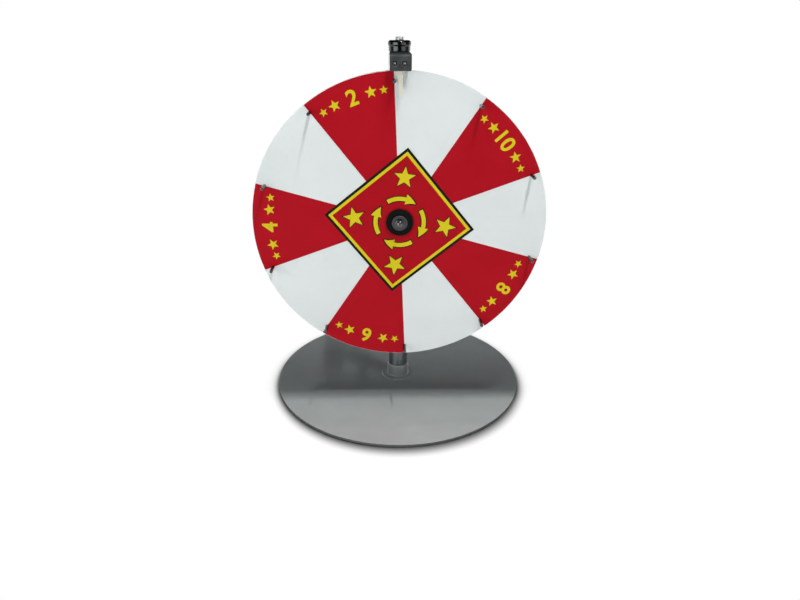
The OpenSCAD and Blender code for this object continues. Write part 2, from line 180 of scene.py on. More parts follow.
def bored(name, solid, cutter):
    """The solid less the cutter, both closed meshes, as a new mesh."""
    kept = linked(name + "_solid", solid)
    cut = linked(name + "_cut", cutter)
    knife = kept.modifiers.new("bores", "BOOLEAN")
    knife.operation = "DIFFERENCE"
    knife.object = cut
    knife.solver = "EXACT"
    made = settled(kept)
    bpy.data.objects.remove(cut)
    return made


def piece(name, shapes, finishes, body, slot, *nodes, bores=()):
    """A piece made of shapes, less its bores, that rides on a body and stands for the nodes."""
    sharp = math.radians(40)
    mesh = joined(name, shapes)
    if bores:
        mesh = bored(name, mesh, joined(name + "_bores", bores))
    mesh.polygons.foreach_set("use_smooth", np.ones(len(mesh.polygons), bool))
    mesh.set_sharp_from_angle(angle=sharp)
    for finish in finishes:
        mesh.materials.append(finish)
    made = linked(name, mesh)
    even = made.modifiers.new("even_shading", "WEIGHTED_NORMAL")
    even.keep_sharp = True
    if body:
        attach(made, body)
    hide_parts(*nodes)
    return made


def linear(colour):
    """An sRGB hex colour as linear red, green, blue and alpha."""
    share = np.array([int(colour[i:i + 2], 16) for i in (1, 3, 5)]) / 255
    value = np.where(share <= 0.04045, share / 12.92, ((share + 0.055) / 1.055) ** 2.4)
    return (*value.tolist(), 1.0)


def feed(node, inputs):
    """Gives a node's inputs a value or an output. Another node stands for its first live output."""
    for name, value in inputs.items():
        if isinstance(value, bpy.types.Node):
            value = next(output for output in value.outputs if output.enabled)
        if isinstance(value, bpy.types.NodeSocket):
            node.id_data.links.new(value, node.inputs[name])
        else:
            node.inputs[name].default_value = value
    return node


def add(tree, kind, inputs=(), **settings):
    """Adds a node of a kind with its settings, and feeds its inputs."""
    made = tree.nodes.new("ShaderNode" + kind)
    for name, value in settings.items():
        setattr(made, name, value)
    return feed(made, dict(inputs))


def started(name, dark, light, *noises):
    """A new material: its node tree, the place on the piece that wears it, its colour and its noises. A
    noise has a size in mm, a detail, a roughness and, where it is drawn out, a turn and a scale. The first
    one drifts the colour between two shades."""
    finish = bpy.data.materials.new(name)
    finish.use_nodes = True
    tree = finish.node_tree
    place = add(tree, "TexCoord").outputs["Object"]
    made = []
    for size_mm, detail, roughness, *drawn in noises:
        where = place
        for turn, scale in drawn:
            where = add(tree, "Mapping", {"Vector": place, "Rotation": turn, "Scale": scale})
        made.append(add(tree, "TexNoise", {"Vector": where, "Scale": 1 / (size_mm * MM), "Detail": detail,
                                           "Roughness": roughness}))
    shade = add(tree, "Mix", {"Factor": made[0], "A": linear(dark), "B": linear(light)}, data_type="RGBA")
    return finish, tree, place, shade, made


def dressed(finish, shade, gloss, lift, sockets, span=(0.3, 0.7), dull=None):
    """The material with its colour, with a noise that parts its roughness between a least and a most, as
    it runs over the span where most of its values lie, with a noise that lifts it by some mm at a
    strength, and with constant values on other sockets. dull adds to the roughness."""
    tree = finish.node_tree
    noise, least, most = gloss
    rough = add(tree, "MapRange", {"Value": noise, "From Min": span[0], "From Max": span[1],
                                   "To Min": least, "To Max": most})
    if dull:
        rough = add(tree, "Math", {0: rough, 1: dull}, operation="ADD")
    noise, bump_mm, strength = lift
    bump = add(tree, "Bump", {"Height": noise, "Distance": bump_mm * MM, "Strength": strength})
    feed(tree.nodes["Principled BSDF"], {"Base Color": shade, "Roughness": rough, "Normal": bump, **sockets})
    return finish


def moulded(name, dark, light, grain_mm, roughness, bump_mm, sockets):
    """A moulded or turned plastic: its colour drifts in soft clouds twenty grains wide, and its grain is a
    fine noise that lifts the surface and spreads the gloss. roughness is (least, most)."""
    finish, _, _, shade, (_, grain) = started(name, dark, light, (20 * grain_mm, 4, 0.5), (grain_mm, 3, 0.5))
    return dressed(finish, shade, (grain, *roughness), (grain, bump_mm, 1.0), sockets, span=(0, 1))


# Black natural rubber, moulded: it drinks the light, with a dusty grey bloom.
foot_rubber = moulded("moulded_black_rubber", "#141415", "#232425", 0.8, (0.62, 0.85), 0.15, {"IOR": 1.52})

feet = mm_box("rubber_feet")
foot_count = 6
foot_r = 12.0
foot_t = feet.high[2]
hollow_r = foot_r - 5.0
hollow_d = 0.3
sole_r = hollow_r + 0.6
foot_outline = np.concatenate([
    [(0, hollow_d), (hollow_r, hollow_d)],
    rounded([(hollow_r, hollow_d), (sole_r, 0), (foot_r, 0), (foot_r, foot_t), (0, foot_t)],
            [1, 0.2, 0.7, 0.15, 1])[1:],
])
foot_places = [(x, y, 0) for x, y in ring_places(foot_count, feet.high[1] - foot_r)]
piece("rubber_foot_set", [turned(foot_outline, place, "up", columns=64) for place in foot_places],
      [foot_rubber], "stand", "foot_rubber", "rubber_feet")


# Base plate
# A round steel plate, 4 mm thick, cut by laser and powder coated in satin silver grey on its faces.
# The plate is painted darker on its cut edge.

ORIGIN = (0, 0, 0)
base = mm_box("base_plate")
base_r = base.half[1]
base_ease = 0.8
base_outline = rounded(
    [(0, base.low[2]), (base_r, base.low[2]), (base_r, base.high[2]), (0, base.high[2])], base_ease)


def silver_coat():
    """Powder coat with metal flake: specks under half a millimetre, drawn at 1.2 mm so that they show,
    over clouds of two greys 45 mm wide and a soft orange peel of 3 mm. Wide faint smears from wiping
    change the gloss alone, and the rim darkens over the last of its eased edge."""
    wiped = ((0, 0, 0.5), (0.25, 1.6, 1))
    finish, tree, place, greys, (_, flake, smears, peel) = started(
        "silver_powder_coat", "#b2b8b7", "#c2c8c7",
        (45, 5, 0.6), (1.2, 2, 0.5), (30, 4, 0.5, wiped), (3, 1, 0.5))
    spark = add(tree, "MapRange", {"Value": flake, "From Min": 0.58, "From Max": 0.75, "To Max": 0.35})
    coat = add(tree, "Mix", {"Factor": spark, "A": greys, "B": linear("#d2d5d5")}, data_type="RGBA")
    out = add(tree, "VectorMath", {0: place, 1: (1, 1, 0)}, operation="MULTIPLY")
    radius = add(tree, "VectorMath", {0: out}, operation="LENGTH")
    edge = add(tree, "MapRange", {"Value": radius, "From Min": (base_r - base_ease) * MM,
                                  "From Max": (base_r - 0.3 * base_ease) * MM})
    rimmed = add(tree, "Mix", {"Factor": edge, "A": coat, "B": linear("#5c6060")}, data_type="RGBA")
    return dressed(finish, rimmed, (smears, 0.42, 0.56), (peel, 0.12, 0.6),
                   {"Metallic": 0.25, "Specular IOR Level": 0.35})


# Gap beside a screw or a pressed piece.
CLOSE_FIT = 0.02


def sinks(shank, depth, places, facing):
    """Cutters for countersunk screws with heads twice as wide as their shanks and faces at places: each is
    a bore to a depth and a cone, and runs a little past the face."""
    past = 1.0
    bore_r = shank / 2 + CLOSE_FIT
    head_r = shank + CLOSE_FIT
    outline = np.array(
        [(0, -depth), (bore_r, -depth), (bore_r, -shank / 2), (head_r, 0), (head_r, past), (0, past)])
    return [turned(outline, place, facing, columns=48) for place in places]


bolts = mm_box("socket_bolts")
bolt_count = 3
bolt_d = 4.0
bolt_sink = 6.0
bolt_places = [(x, y, bolts.low[2]) for x, y in ring_places(bolt_count, bolts.high[1] - bolt_d)]
piece("coated_base_plate", [turned(base_outline, ORIGIN, "up", columns=256)], [silver_coat()],
      "stand", "silver_paint", "base_plate", bores=sinks(bolt_d, bolt_sink, bolt_places, "down"))


# Post socket, its bolts and its screw
# A flange with a short socket, turned from steel bar, stands in the middle of the plate. Three countersunk
# bolts hold it from below, and one button-head screw at the back holds the post.


def metal(name, dark, light, line_mm, roughness, rings=None, stretch=40, bump_mm=0.02):
    """Bare or plated metal. Its tool or polishing marks are a noise drawn out stretch times along Z, or
    into rings about an axis where rings gives that axis as (origin in mm, unit vector). They part the
    gloss and tilt the surface a little, and soft clouds of 14 mm drift the colour."""
    drawn = [] if rings else [(ORIGIN, (1, 1, 1 / stretch))]
    finish, tree, place, shade, (_, lines) = started(
        name, dark, light, (14, 5, 0.5), (line_mm, 3, 0.5, *drawn))
    if rings:
        origin, axis = rings
        middle = add(tree, "VectorMath", {0: place, 1: tuple(x * MM for x in origin)}, operation="SUBTRACT")
        along = add(tree, "VectorMath", {0: middle, 1: axis}, operation="DOT_PRODUCT")
        lengthwise = add(tree, "VectorMath", {0: axis, "Scale": along}, operation="SCALE")
        out = add(tree, "VectorMath", {0: middle, 1: lengthwise}, operation="SUBTRACT")
        radius = add(tree, "VectorMath", {0: out}, operation="LENGTH")
        feed(lines, {"Vector": add(tree, "CombineXYZ", {"X": radius, "Y": along})})
    return dressed(finish, shade, (lines, *roughness), (lines, bump_mm, 0.5), {"Metallic": 1.0})


UPRIGHT = (ORIGIN, (0, 0, 1))

# Turned steel: fine rings from the lathe tool, which draw the light into bands.
turned_steel = metal("turned_satin_steel", "#b4b8b9", "#c6caca", 0.7, (0.55, 0.7), UPRIGHT)

# Gap of pieces that slide together.
EASY_FIT = 0.05
socket = mm_box("post_socket")
post = mm_box("post")
post_r = post.half[0]
socket_bore_r = post_r + EASY_FIT
socket_wall = 2.0
socket_r = socket_bore_r + socket_wall
flange_r = socket.half[1]
flange_t = 3.0
flange_top = socket.low[2] + flange_t
socket_outline = rounded([
    (socket_bore_r, socket.low[2]), (flange_r, socket.low[2]), (flange_r, flange_top),
    (socket_r, flange_top), (socket_r, socket.high[2]), (socket_bore_r, socket.high[2]),
], [0.1, 0.2, 0.8, 1.2, 1.7, 0.1], closed=True)
piece("turned_post_socket", [turned(socket_outline, ORIGIN, "up", closed=True)], [turned_steel],
      "stand", "satin_steel", "post_socket")


def hexagon(flats, columns):
    """Radius of a hexagon at each column's angle: half its flats over the cosine of the angle to a flat."""
    return flats / 2 / np.cos(even_turn(columns) % (np.pi / 3) - np.pi / 6)


def stacked(columns, *rows):
    """Rows of a grid. A plain number stands for a whole row of it."""
    return np.stack([np.broadcast_to(np.asarray(row, float), columns) for row in rows])


def domed_head(head, head_h, shank):
    """Outline of a button head from the shank out and up the cap of a sphere to half its width."""
    sphere_r = (head * head / 4 + head_h * head_h) / (2 * head_h)
    radius = np.linspace(head / 2, head / 4, 8)
    height = np.sqrt(sphere_r ** 2 - radius ** 2) - (sphere_r - head_h)
    return np.concatenate([[(shank / 2, 0)], np.stack([radius, height], axis=1)])


def socket_screw(head, shank, length, key, origin, facing, columns=48):
    """A screw that stands on the plane through origin: its shank goes back by length to a broken tip, its
    head follows an outline, and a hexagon socket for a key of that width is sunk in its middle."""
    tip = 0.3
    mouth_r = 0.64 * key
    top = head[-1, 1]
    floor = top - 0.55 * key
    hexed = hexagon(key, columns)
    shaft = [(0, -length), (shank / 2 - tip, -length), (shank / 2, tip - length)]
    lathe = np.concatenate([shaft, head, [(mouth_r, top)]])
    radius = stacked(columns, *lathe[:, 0], hexed, hexed, 0)
    height = stacked(columns, *lathe[:, 1], top - 0.1, floor, floor - 0.2 * key)
    return revolved(radius, height, origin, facing)


def sunk_screws(shank, length, key, places, facing):
    """Countersunk screws with heads twice as wide as their shanks, whose flat faces lie at places."""
    rim_r = shank - 0.1
    head = np.array([(shank / 2, -shank / 2), (rim_r, -0.1), (rim_r, 0), (rim_r - 0.15, 0.03)])
    return [socket_screw(head, shank, length, key, place, facing) for place in places]


# Bright zinc plate: a cool, slightly cloudy grey with a soft shine.
zinc = metal("bright_zinc_plate", "#878c8f", "#a3a8aa", 1.5, (0.22, 0.38), stretch=3)

bolt_key = 2.5
bolt_shapes = sunk_screws(bolt_d, 2 * bolts.half[2], bolt_key, bolt_places, "down")
piece("countersunk_socket_bolts", bolt_shapes, [zinc], "stand", "zinc_steel", "socket_bolts")

screw = mm_box("socket_screw")
screw_d = 5.0
screw_key = 3.0
screw_head = domed_head(2 * screw.half[0], screw.high[1] - socket_r, screw_d)
screw_shape = socket_screw(screw_head, screw_d, socket_r - screw.low[1], screw_key,
                           (0, socket_r, screw.middle[2]), "back")
piece("post_holding_screw", [screw_shape], [zinc], "stand", "zinc_steel", "socket_screw")


# Post
# A drawn steel tube, brushed along its length, that stands in the socket down to the plate.
# A threaded steel plug is pressed into its top for the cap's screw.


def ring(inner, outer, low, high, radius, origin, facing, columns=96):
    """A turned ring or tube: a rectangle between two radii and two heights, with an arc at each corner."""
    outline = rounded([(inner, low), (outer, low), (outer, high), (inner, high)], radius, closed=True)
    return turned(outline, origin, facing, closed=True, columns=columns)


# Brushed tube: the lines run up the post, so the light spreads into one soft upright band.
brushed_tube = metal("brushed_steel_tube", "#8b8f91", "#9fa3a5", 0.6, (0.26, 0.4), bump_mm=0.01)
post_wall = 2.0
piece("brushed_post",
      [ring(post_r - post_wall, post_r, post.low[2], post.high[2], 0.4, ORIGIN, "up", columns=128)],
      [brushed_tube], "stand", "satin_steel", "post")

plug = mm_box("post_plug")
cap_screw_d = 6.0
piece("threaded_post_plug",
      [ring(cap_screw_d / 2 + CLOSE_FIT, plug.half[0], plug.low[2], plug.high[2], 0.5, ORIGIN, "up")],
      [turned_steel], "stand", "zinc_steel", "post_plug")


# Flapper arm
# A flat steel strip with a half-round end on the post, bent down in front of the rim into a tab with two
# countersunk holes. It is chromed, and its edges are broken before plating.

# Satin chrome painted dark, its colour clouded from near black to mid grey: a painted reflection of the dim
# room, with one soft paler line along the bend.
arm_dim_painted_chrome = metal("arm_chrome_with_painted_dim", "#0c0d0e", "#707375", 0.9, (0.6, 0.75), bump_mm=0.006)

arm = mm_box("flapper_arm")
arm_half = arm.half[0]
arm_t = 3.0
arm_bend = 2.0 + arm_t / 2
arm_edge = 0.5
arm_corner = 2.5


def swept(points, paint=0):
    """Surface of stations by section: a closed section carried along a path, with a flat cap at each end."""
    stations, around = points.shape[:2]
    last = (stations - 1) * around
    caps = [list(range(around)), list(range(last, last + around))]
    return points.reshape(-1, 3), quads(stations, around, False) + caps, paint


def round_box(wide, tall, radius, steps):
    """Outline of a rectangle about the middle, given half its sides, with an arc at each corner."""
    corners = np.array([(-1, -1), (1, -1), (1, 1), (-1, 1)]) * (wide, tall)
    return rounded(corners, radius, closed=True, steps=steps)


def strip_section(thickness, edge):
    """A bar's section from -1 to 1 across and half its thickness either way, with arcs of radius edge at
    its corners; edge counts as a share of a bar 8 mm wide, so that a narrow station stays whole."""
    wide = 4
    across = round_box(wide, thickness / 2, edge, 4)
    return across[:, 0] / wide, across[:, 1]


def rounding(radius, past):
    """What an arc takes off a side at a distance past its start: the radius less the root of the radius
    squared less that distance squared."""
    return radius - np.sqrt(np.maximum(radius ** 2 - np.maximum(past, 0) ** 2, 0))


# Stations run from the round end forward, round the bend and down the tab, with a round corner at its end.
# Each stretch has its distance in front of the post, its height, its tilt and half its width.
level = arm.high[2] - arm_t / 2
bend_d = arm.front - arm_t / 2 - arm_bend
tab_len = level - arm_bend - arm.low[2]
end_turn = np.linspace(0.02, np.pi / 2, 24)
bend_turn = np.linspace(0, np.pi / 2, 13)[1:]
tab_run = np.linspace(0, tab_len, 24)[1:]
corner_run = tab_len - arm_corner * (1 - np.sin(np.linspace(0, np.pi / 2, 8)))
tab_run = np.concatenate([tab_run[tab_run < tab_len - arm_corner], corner_run])
stretches = [
    (-arm_half * np.cos(end_turn), level, 0, arm_half * np.sin(end_turn)),
    (np.linspace(0, bend_d, 20)[1:], level, 0, arm_half),
    (bend_d + arm_bend * np.sin(bend_turn), level - arm_bend * (1 - np.cos(bend_turn)), bend_turn, arm_half),
    (bend_d + arm_bend, level - arm_bend - tab_run, np.pi / 2,
     arm_half - rounding(arm_corner, tab_run - tab_len + arm_corner)),
]
stations = np.concatenate([np.stack(np.broadcast_arrays(*stretch)) for stretch in stretches], axis=1)
ahead, height, tilt, half = stations[..., None]
across, through = strip_section(arm_t, arm_edge)
arm_points = np.stack(
    [half * across, -(ahead + np.sin(tilt) * through), height + np.cos(tilt) * through], axis=-1)

clamp_screws = mm_box("clamp_screws")
clamp_screw_d = 4.0
clamp_sink = 6.0
clamp_screw_places = [
    (x, arm.low[1], clamp_screws.middle[2])
    for x in (clamp_screws.low[0] + clamp_screw_d, clamp_screws.high[0] - clamp_screw_d)
]
piece("bent_flapper_arm", [swept(arm_points)], [arm_dim_painted_chrome], "stand", "polished_chrome", "flapper_arm",
      bores=sinks(clamp_screw_d, clamp_sink, clamp_screw_places, "front"))


# Post cap and its screw
# A cap turned from bar and chromed sits on the arm's round end; its chrome is painted dark, a painted
# reflection of the dim room. A screw with a nickelled knob head, painted near white as a painted reflection
# of a bright light, goes through its middle and holds cap and arm down on the plug.

# Gap round a screw or bolt that passes through.
LOOSE_FIT = 0.2
cap = mm_box("post_cap")
cap_r = cap.half[0]
cap_foot_r = post_r - 0.1
cap_foot_top = cap.low[2] + 7.5
cap_rim_low = cap.low[2] + 9.5
cap_bore_r = cap_screw_d / 2 + LOOSE_FIT
cap_outline = rounded([
    (cap_bore_r, cap.low[2]), (cap_foot_r, cap.low[2]), (cap_foot_r, cap_foot_top), (cap_r, cap_rim_low),
    (cap_r, cap.high[2]), (cap_bore_r, cap.high[2]),
], [0.2, 0.4, 0.8, 0.8, 4, 0.3], closed=True, steps=8)
# Chrome painted nearly black, a painted reflection of the dim room, with a few soft glints.
cap_dark_painted_chrome = metal("cap_chrome_with_painted_dark", "#3e4042", "#4e5052", 0.8, (0.16, 0.26), UPRIGHT)
piece("chromed_post_cap", [turned(cap_outline, ORIGIN, "up", closed=True, columns=128)], [cap_dark_painted_chrome],
      "stand", "polished_chrome", "post_cap")

knob = mm_box("cap_screw")
knob_r = knob.half[0]
knob_outline = rounded([
    (0, knob.low[2]), (cap_screw_d / 2, knob.low[2]), (cap_screw_d / 2, cap.high[2]), (knob_r, cap.high[2]),
    (knob_r, knob.high[2]), (0, knob.high[2]),
], [1, 0.6, 0.2, 0.3, 1.5, 1], steps=8)
# Satin nickel painted near white: a painted reflection of a bright light in front, paler and softer than the
# chrome under it.
knob_pale_painted_metal = metal("knob_nickel_with_painted_pale", "#e6e8e8", "#f0f1f1", 0.6, (0.5, 0.62), UPRIGHT)
piece("cap_knob_screw", [turned(knob_outline, ORIGIN, "up", columns=72)], [knob_pale_painted_metal],
      "stand", "polished_chrome", "cap_screw")


# Flapper clamp
# A small steel plate behind the tab grips the flapper. Two countersunk screws go through the tab and
# the plate, one each side of the flapper, into plain hexagon nuts.

clamp_corner = 1.5
clamp_edge = 0.35


def slab(box, corner, edge):
    """A plate across Y: its outline is a rectangle with arcs of radius corner, drawn in at both faces by
    an arc of radius edge, so each row is the outline less what the edge's arc takes off at that depth."""
    turn = np.linspace(0, np.pi / 2, 5)
    off_sine = edge * (1 - np.sin(turn))
    off_cosine = edge * (1 - np.cos(turn))
    inset = np.concatenate([off_sine, off_cosine])
    depth = np.concatenate([[box.low[1]], box.low[1] + off_cosine, box.high[1] - off_sine, [box.high[1]]])
    wide, _, tall = box.half
    plan = round_box(wide, tall, corner, 6)
    outline = plan[None] * (1 - inset[:, None, None] / np.array([wide, tall]))
    rows = np.concatenate([outline[:1] * 0, outline, outline[-1:] * 0])
    points = np.stack(np.broadcast_arrays(
        box.middle[0] + rows[..., 0], depth[:, None], box.middle[2] + rows[..., 1]), axis=-1)
    return points.reshape(-1, 3), quads(len(rows), len(plan), False), 0


# Rolled steel strip, zinc plated: finer than the plain plated nuts, with lines along its length.
strip_steel = metal("rolled_zinc_strip", "#8a8f91", "#a6abac", 0.6, (0.25, 0.42), stretch=12)
piece("flapper_clamp_plate", [slab(mm_box("clamp_plate"), clamp_corner, clamp_edge)], [strip_steel],
      "stand", "satin_steel", "clamp_plate")

# Worn chrome plate: it takes its tone from the room, softened by fine lengthwise scratches.
chrome = metal("worn_chrome_plate", "#7d8082", "#909395", 0.9, (0.1, 0.16), bump_mm=0.006)
clamp_len = clamp_screws.high[1] - arm.low[1]
clamp_key = 2.5
clamp_shapes = sunk_screws(clamp_screw_d, clamp_len, clamp_key, clamp_screw_places, "front")
piece("countersunk_clamp_screws", clamp_shapes, [chrome], "stand", "polished_chrome", "clamp_screws")


def cone_cut(flats, share, columns):
    """A hexagon whose corners are cut by a cone at 30 degrees: its radius at each column, the radius of
    the cone's circle, which is a share of half its flats, and how far the cut falls from that circle to
    the hexagon's edge, the difference of the two radii times tan 30."""
    hexed = hexagon(flats, columns)
    circle = flats / 2 * share
    return hexed, circle, (hexed - circle) * math.tan(math.pi / 6)


def hex_nut(flats, thick, bore, origin, facing, columns=72):
    """A nut: a hexagon cut by a cone on both faces, with a plain bore whose edges are broken."""
    ease = 0.25
    hexed, circle, fall = cone_cut(flats, 0.97, columns)
    radius = stacked(columns, bore, bore + ease, circle, hexed, hexed, circle, bore + ease, bore)
    height = stacked(columns, ease, 0, 0, fall, thick - fall, thick, thick, thick - ease)
    return revolved(radius, height, origin, facing, closed=True)


nuts = mm_box("clamp_nuts")
nut_flats = 1.75 * clamp_screw_d
nut_shapes = [
    hex_nut(nut_flats, 2 * nuts.half[1], clamp_screw_d / 2 + CLOSE_FIT, (x, nuts.low[1], z), "back")
    for x, _, z in clamp_screw_places
]
piece("clamp_hex_nuts", nut_shapes, [zinc], "stand", "zinc_steel", "clamp_nuts")


# Axle: bolt, saddle, washer and stand-off tube
# An 8 mm bolt goes through the post from behind. Its head bears on a washer and a plastic saddle that fits
# the round post, and a turned tube, cut to the post at one end, keeps the wheel well in front of it.

axle = mm_box("axle_bolt")
axle_z = axle.middle[2]
axle_point = (0, 0, axle_z)
axle_r = 3.95
washer = mm_box("rear_washer")


def hex_bolt(flats, head, shank_r, length, origin, facing, columns=72):
    """A hexagon bolt whose head stands on the plane through origin and whose shank goes back by length to
    a broken tip. A cone cuts the head's corners, as on a nut, and its end has a shallow dish."""
    tip = 0.8
    dish = head - 0.25
    hexed, circle, fall = cone_cut(flats, 0.95, columns)
    shaft_r = (0, shank_r - tip, shank_r, shank_r)
    shaft_z = (-length, -length, tip - length, 0)
    radius = stacked(columns, *shaft_r, circle, hexed, hexed, circle, 0.55 * circle, 0.5 * circle, 0)
    height = stacked(columns, *shaft_z, 0, 0.2 * fall, head - fall, head, head, dish, dish)
    return revolved(radius, height, origin, facing)


axle_head = axle.high[1] - washer.high[1]
axle_len = washer.high[1] - axle.low[1]
axle_shape = hex_bolt(2 * axle.half[2], axle_head, axle_r, axle_len, (0, washer.high[1], axle_z), "back")
piece("axle_hex_bolt", [axle_shape], [zinc], "stand", "zinc_steel", "axle_bolt")

washer_shape = ring(axle_r + LOOSE_FIT, washer.half[0], washer.low[1], washer.high[1], [0.2, 0.25, 0.5, 0.2],
                    axle_point, "back")
piece("rear_plain_washer", [washer_shape], [zinc], "stand", "zinc_steel", "rear_washer")


def saddle(outline, reach, facing, columns=96):
    """Lathe work about the axle whose first end is cut to the post: its first rows spread from the bore to
    the outside at the height of the post's surface, the root of the post's radius squared less the
    sideways distance squared."""
    even = np.ones(columns)
    cut_r = np.linspace(outline[-1, 0], reach, 6)[:, None] * even
    cut_h = np.sqrt((post_r + CLOSE_FIT) ** 2 - (cut_r * np.cos(even_turn(columns))) ** 2)
    radius = np.concatenate([cut_r, outline[:, :1] * even])
    height = np.concatenate([cut_h, outline[:, 1:] * even])
    return revolved(radius, height, axle_point, facing, closed=True)


# Acetal, turned from rod: a deep satin black with faint mottling.
black_acetal = moulded("turned_black_acetal", "#060607", "#0c0c0d", 1.6, (0.4, 0.55), 0.05,
                       {"IOR": 1.48, "Specular IOR Level": 0.12})

rear_saddle = mm_box("rear_saddle")
saddle_r = rear_saddle.half[0]
saddle_back = rear_saddle.high[1]
axle_bore_r = axle_r + EASY_FIT
saddle_outline = rounded(
    [(saddle_r, 0), (saddle_r, saddle_back), (axle_bore_r, saddle_back), (axle_bore_r, 0)], 0.6)[1:-1]
piece("rear_post_saddle", [saddle(saddle_outline, saddle_r, "back")], [black_acetal],
      "stand", "black_acetal", "rear_saddle")

AXLE = (axle_point, (0, -1, 0))
# Bright turned steel: shinier than the socket's, with slightly wider rings.
bright_turned_steel = metal("bright_turned_steel", "#9da1a3", "#b4b8b9", 0.8, (0.26, 0.45), AXLE)
tube = mm_box("standoff_tube")
tube_r = tube.half[0]
nose_len = 1.5
nose_r = 6.1
tube_outline = rounded([
    (tube_r, 0), (tube_r, tube.front - nose_len), (nose_r, tube.front - nose_len), (nose_r, tube.front),
    (axle_bore_r, tube.front), (axle_bore_r, 0),
], [1, 1.0, 0.2, 0.2, 0.2, 1])[1:-1]
piece("wheel_standoff_tube", [saddle(tube_outline, tube_r, "front")], [bright_turned_steel],
      "stand", "satin_steel", "standoff_tube")


# Bearings
# Two plain ball bearings, 8 by 22 by 7 mm, of ground and polished steel. Their inner rings, with a
# spacer between and a shim in front, are clamped on the bolt; their outer rings are pressed into the hub.

# Ground steel: bright and smooth, with the faintest rings.
bearing_steel = metal("ground_bearing_steel", "#9fa3a5", "#babebf", 0.5, (0.08, 0.2), AXLE)
inner_races = mm_box("inner_races")
bearing_w = 7.0
bearing_r = 11.0
bearing_bore_r = 4.0
ball_r = 2.0
ball_ring_r = 7.5
groove_r = ball_r + EASY_FIT
land = 0.7 * ball_r
inner_r = ball_ring_r - land
outer_r = ball_ring_r + land
race_backs = (inner_races.back, inner_races.front - bearing_w)


def race(bore, outside, groove_outside, back):
    """A bearing ring with broken edges. The groove is the arc of a circle about the balls' ring, cut into
    the ring's outside or its bore between the two places where that circle leaves the ring's land."""
    edge = 0.35
    swing = math.acos(land / groove_r)
    turn = np.linspace(-swing, swing, 13)
    side = -1 if groove_outside else 1
    groove_x = ball_ring_r + side * groove_r * np.cos(turn)
    groove = np.stack([groove_x, bearing_w / 2 + groove_r * np.sin(turn)], axis=1)
    low = [(bore, edge), (bore + edge, 0), (outside - edge, 0), (outside, edge)]
    high = [(radius, bearing_w - height) for radius, height in low[::-1]]
    outline = np.concatenate([low, groove, high] if groove_outside else [low, high, groove[::-1]])
    return turned(outline, (0, -back, axle_z), "front", closed=True)


inner_rings = [race(bearing_bore_r, inner_r, True, back) for back in race_backs]
outer_rings = [race(outer_r, bearing_r, False, back) for back in race_backs]
piece("bearing_inner_rings", inner_rings, [bearing_steel], "stand", "bearing_steel", "inner_races")
piece("bearing_outer_rings", outer_rings, [bearing_steel], "wheel", "bearing_steel", "outer_races")

ball_count = 7
ball_turn = np.linspace(-np.pi / 2, np.pi / 2, 17)
ball_outline = ball_r * np.stack([np.cos(ball_turn), np.sin(ball_turn)], axis=1)
ball_outline[[0, -1], 0] = 0
ball_shapes = [
    turned(ball_outline, (x, -back - bearing_w / 2, axle_z + z), "front", columns=32)
    for back in race_backs for x, z in ring_places(ball_count, ball_ring_r)
]
piece("bearing_ball_set", ball_shapes, [bearing_steel], "wheel", "bearing_steel", "bearing_balls")

for ring_name, node in (("bearing_spacer_ring", "race_spacer"), ("front_shim_ring", "front_shim")):
    spacer = mm_box(node)
    spacer_shape = ring(bearing_bore_r, inner_r, spacer.back, spacer.front, 0.15, axle_point, "front")
    piece(ring_name, [spacer_shape], [zinc], "stand", "zinc_steel", node)


# Hub, back plate and hub screws
# The hub is turned from black acetal rod, with a flange on the wheel's face. A steel ring behind the board
# and four countersunk screws clamp the board against the flange.

hub = mm_box("hub")
hub_r = hub.half[0]
label = mm_box("centre_label")
seat_r = bearing_r + CLOSE_FIT
rear_seat = race_backs[0] + bearing_w
front_seat = race_backs[1]
barrel_wall = 3.0
barrel_r = seat_r + barrel_wall
# A line is turned into the flange's face: where it starts, meets its floor, leaves it and ends.
line_r = hub_r - np.array([3.2, 3.6, 4.4, 4.8])
line_floor = hub.front - 0.5
hub_outline = rounded([
    (seat_r, hub.back), (barrel_r, hub.back), (barrel_r, label.front), (hub_r, label.front),
    (hub_r, hub.front), (line_r[0], hub.front), (line_r[1], line_floor), (line_r[2], line_floor),
    (line_r[3], hub.front), (seat_r, hub.front), (seat_r, front_seat), (outer_r, front_seat),
    (outer_r, rear_seat), (seat_r, rear_seat),
], [0.4, 0.4, 0.1, 0.3, 1.2, 0.15, 0.1, 0.1, 0.15, 0.3, 0.1, 0.1, 0.1, 0.1], closed=True)
hub_shape = turned(hub_outline, axle_point, "front", closed=True, columns=128)
piece("turned_wheel_hub", [hub_shape], [black_acetal], "wheel", "black_acetal", "hub")

# Turned dark steel: a dim grey whose tool rings catch the light in bands.
dark_turned = metal("turned_dark_steel", "#54585a", "#6a6e70", 0.7, (0.25, 0.45), AXLE)
plate = mm_box("back_plate")
hub_hole_r = barrel_r + EASY_FIT
hub_screws = mm_box("hub_screws")
hub_screw_count = 4
hub_screw_d = 3.0
hub_sink = 5.0
hub_screw_places = [
    (x, hub_screws.high[1], axle_z + z) for x, z in ring_places(hub_screw_count, (barrel_r + hub_r) / 2)
]
plate_shape = ring(hub_hole_r, plate.half[0], plate.low[1], plate.high[1], [0.3, 0.2, 0.8, 0.4],
                   axle_point, "back")
piece("hub_back_plate", [plate_shape], [dark_turned], "wheel", "satin_steel", "back_plate",
      bores=sinks(hub_screw_d, hub_sink, hub_screw_places, "back"))
hub_key = 2.0
hub_screw_shapes = sunk_screws(hub_screw_d, 2 * hub_screws.half[1], hub_key, hub_screw_places, "back")
piece("countersunk_hub_screws", hub_screw_shapes, [zinc], "wheel", "zinc_steel", "hub_screws")


# Wheel board
# A round board of white foamed plastic, 8 mm thick, cut on a router, so its face is smooth and its edge
# is cut clean. Its bore goes over the hub's barrel.

board = mm_box("wheel_board")
board_r = board.half[0]


